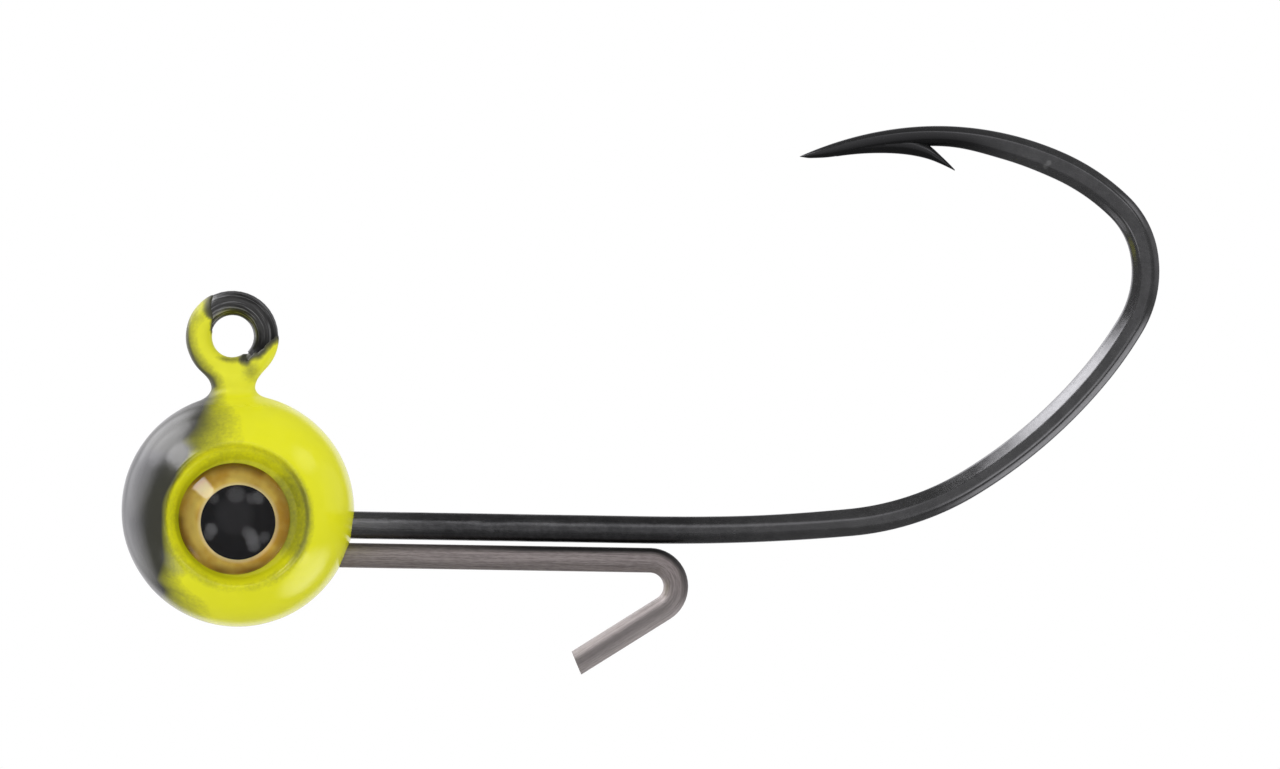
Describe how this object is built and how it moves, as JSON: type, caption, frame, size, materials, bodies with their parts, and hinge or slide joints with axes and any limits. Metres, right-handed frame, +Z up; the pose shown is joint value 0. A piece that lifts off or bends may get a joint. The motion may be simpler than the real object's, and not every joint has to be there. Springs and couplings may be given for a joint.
{
  "type": "round jig head",
  "caption": "Painted ball jig head cast on a single barbed hook, with a line-tie ring on top, inset domed eyes and a bent wire bait keeper under the shank.",
  "frame": {"origin": "middle of the line-tie ring's hole, in the plane of the hook", "axes": "+X from the ball along the shank to the bend, +Z up through the line-tie ring, away from the ball; the hook lies in the XZ plane"},
  "size_m": [0.0372, 0.0078, 0.02],
  "materials": {
    "cast_alloy": "as-cast lead alloy, hidden under the paint",
    "paint": "gloss chartreuse powder coat with black sprayed on from the nose side",
    "hook_wire": "black nickel plated high-carbon steel wire, forged flat along the bend",
    "keeper_wire": "bare stainless spring wire, drawn surface",
    "adhesive": "double-sided foam pad",
    "gold_foil": "metallised gold film with a dark rim",
    "black_gloss": "gloss black, faceted under the dome",
    "clear_resin": "clear resin dome"
  },
  "bodies": {
    "root": {"head_ball": "cast_alloy", "paint_coat": "paint", "hook": "hook_wire", "bait_keeper": "keeper_wire", "left_eye_adhesive": "adhesive", "left_eye_iris": "gold_foil", "left_eye_pupil": "black_gloss", "left_eye_lens": "clear_resin", "right_eye_adhesive": "adhesive", "right_eye_iris": "gold_foil", "right_eye_pupil": "black_gloss", "right_eye_lens": "clear_resin"}
  },
  "joints": []
}
